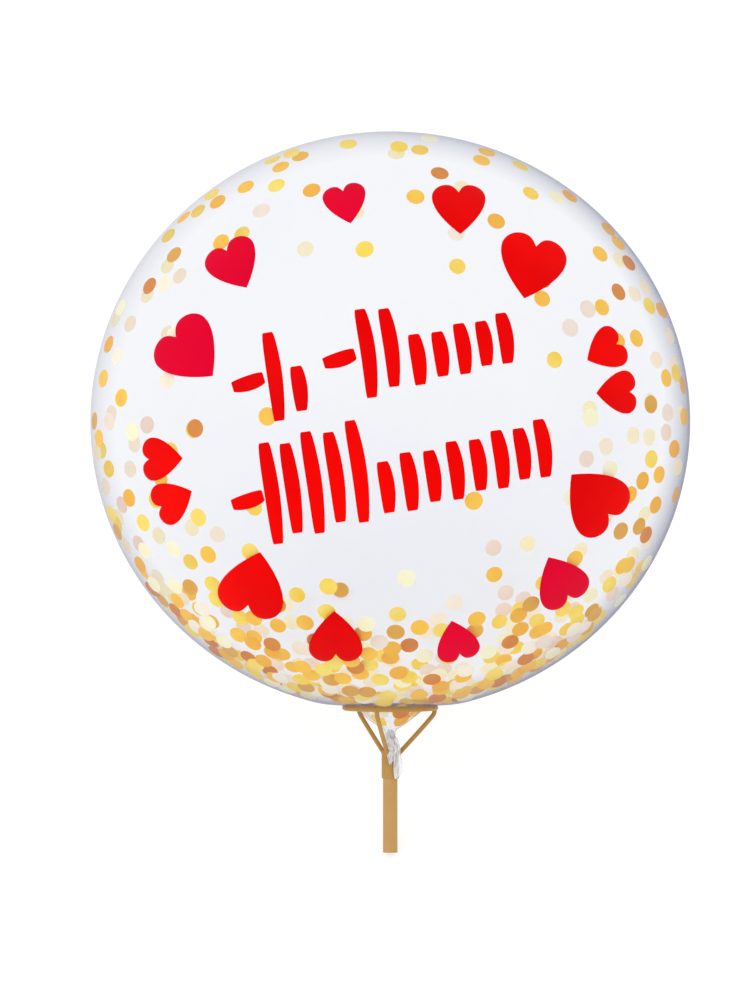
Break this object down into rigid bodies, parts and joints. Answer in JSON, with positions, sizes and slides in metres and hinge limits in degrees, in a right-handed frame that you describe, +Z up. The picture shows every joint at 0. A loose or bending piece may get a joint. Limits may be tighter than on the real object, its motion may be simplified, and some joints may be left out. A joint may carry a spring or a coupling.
{
  "type": "clear bubble balloon on a stick",
  "caption": "Round clear film balloon with heart stickers and rows of brush strokes, confetti inside, and its neck held in a ring holder on a short stick, lying at rest.",
  "frame": {"origin": "middle of the small flat spot on the back of the balloon, where it rests on the floor", "axes": "+Z up from the floor, -Y along the floor towards the end of the stick, +X to the right as seen from the front with the stickers"},
  "size_m": [0.336, 0.3475, 0.3299],
  "materials": {
    "clear_film": "gloss",
    "red_vinyl": "satin",
    "crimson_vinyl": "satin",
    "gold_plastic": "satin",
    "stick_plastic": "satin",
    "gold_confetti": "satin"
  },
  "bodies": {
    "root": {"balloon_envelope": "clear_film", "ring_holder": "gold_plastic", "stick": "stick_plastic", "heart_top_left": "crimson_vinyl", "heart_top_right": "red_vinyl", "heart_upper_right": "red_vinyl", "heart_right_pair_upper": "red_vinyl", "heart_right_pair_lower": "red_vinyl", "heart_right_large": "red_vinyl", "heart_lower_right": "crimson_vinyl", "heart_bottom_right": "crimson_vinyl", "heart_bottom_left": "red_vinyl", "heart_lower_left": "red_vinyl", "heart_left_pair_lower": "red_vinyl", "heart_left_pair_upper": "red_vinyl", "heart_left_large": "crimson_vinyl", "heart_upper_left": "crimson_vinyl", "stroke_upper_first_00": "red_vinyl", "stroke_upper_first_01": "red_vinyl", "stroke_upper_first_02": "red_vinyl", "stroke_upper_second_00": "red_vinyl", "stroke_upper_second_01": "red_vinyl", "stroke_upper_second_02": "red_vinyl", "stroke_upper_second_03": "red_vinyl", "stroke_upper_second_04": "red_vinyl", "stroke_upper_second_05": "red_vinyl", "stroke_upper_second_06": "red_vinyl", "stroke_upper_second_07": "red_vinyl", "stroke_lower_00": "red_vinyl", "stroke_lower_01": "red_vinyl", "stroke_lower_02": "red_vinyl", "stroke_lower_03": "red_vinyl", "stroke_lower_04": "red_vinyl", "stroke_lower_05": "red_vinyl", "stroke_lower_06": "red_vinyl", "stroke_lower_07": "red_vinyl", "stroke_lower_08": "red_vinyl", "stroke_lower_09": "red_vinyl", "stroke_lower_10": "red_vinyl", "stroke_lower_11": "red_vinyl", "stroke_lower_12": "red_vinyl", "stroke_lower_13": "red_vinyl"}
  },
  "joints": []
}
